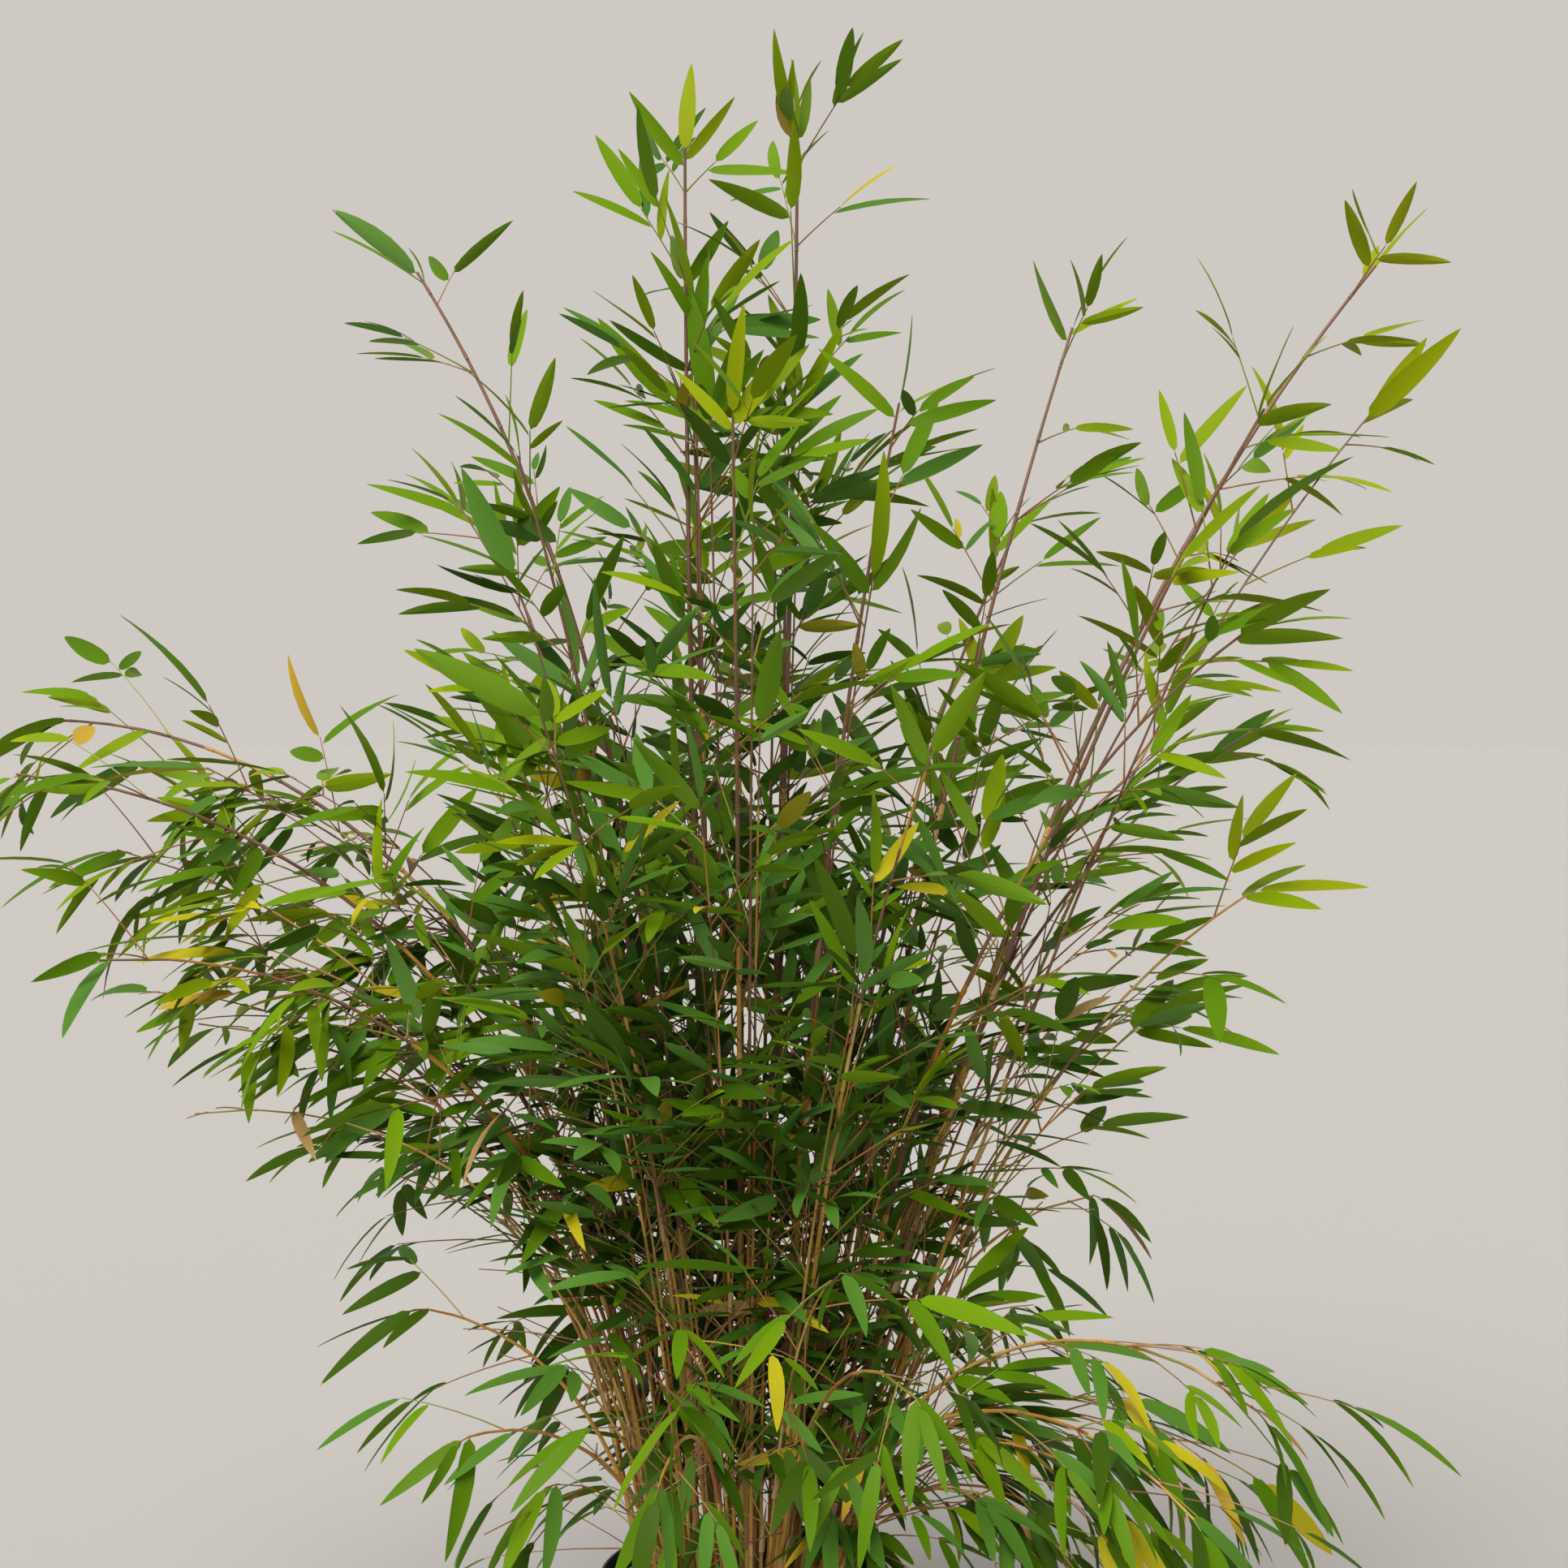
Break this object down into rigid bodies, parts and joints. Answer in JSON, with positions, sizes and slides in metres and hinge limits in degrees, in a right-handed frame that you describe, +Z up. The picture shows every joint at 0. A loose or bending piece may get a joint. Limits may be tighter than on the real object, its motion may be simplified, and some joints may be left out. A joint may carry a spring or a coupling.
{
  "type": "potted bamboo",
  "caption": "Clump of slender arching bamboo canes with narrow green leaves, growing from compost in a round black nursery pot.",
  "frame": {"origin": "centre of the pot's flat underside, on the ground", "axes": "+Z up, -Y the front that faces the viewer, +X the viewer's right"},
  "size_m": [1.5873, 1.256, 1.8933],
  "materials": {
    "pot": "moulded black plastic, satin",
    "compost": "loose compost with bark chips and dry sheaths",
    "canes": "smooth waxy cane with ringed joints",
    "foliage": "living leaves, satin above and matt below"
  },
  "bodies": {
    "root": {"pot": "pot", "compost": "compost", "cane_back_left": "canes", "cane_back_low": "canes", "cane_back_middle": "canes", "cane_back_right": "canes", "cane_droop_lower": "canes", "cane_droop_upper": "canes", "cane_fan_lower": "canes", "cane_fan_lowest": "canes", "cane_fan_middle": "canes", "cane_fan_upper": "canes", "cane_front_left": "canes", "cane_front_right": "canes", "cane_front_spire": "canes", "cane_left_inner": "canes", "cane_left_low": "canes", "cane_left_lowest": "canes", "cane_left_spire": "canes", "cane_long_right": "canes", "cane_right_inner": "canes", "cane_right_spire": "canes", "cane_spire_centre": "canes", "cane_spire_left": "canes", "cane_steep_right": "canes", "cane_sweep_lower": "canes", "cane_sweep_middle": "canes", "cane_sweep_upper": "canes", "foliage_back_left": "foliage", "foliage_back_left_shoot": "foliage", "foliage_back_low": "foliage", "foliage_back_middle": "foliage", "foliage_back_right": "foliage", "foliage_back_right_shoot": "foliage", "foliage_back_shoot": "foliage", "foliage_droop_lower": "foliage", "foliage_droop_upper": "foliage", "foliage_fan_lower": "foliage", "foliage_fan_lowest": "foliage", "foliage_fan_middle": "foliage", "foliage_fan_upper": "foliage", "foliage_front_left": "foliage", "foliage_front_left_shoot": "foliage", "foliage_front_right": "foliage", "foliage_front_right_shoot": "foliage", "foliage_front_shoot": "foliage", "foliage_front_spire": "foliage", "foliage_left_inner": "foliage", "foliage_left_low": "foliage", "foliage_left_lowest": "foliage", "foliage_left_spire": "foliage", "foliage_long_right": "foliage", "foliage_right_inner": "foliage", "foliage_right_spire": "foliage", "foliage_spire_centre": "foliage", "foliage_spire_left": "foliage", "foliage_steep_right": "foliage", "foliage_sweep_lower": "foliage", "foliage_sweep_middle": "foliage", "foliage_sweep_upper": "foliage"}
  },
  "joints": []
}
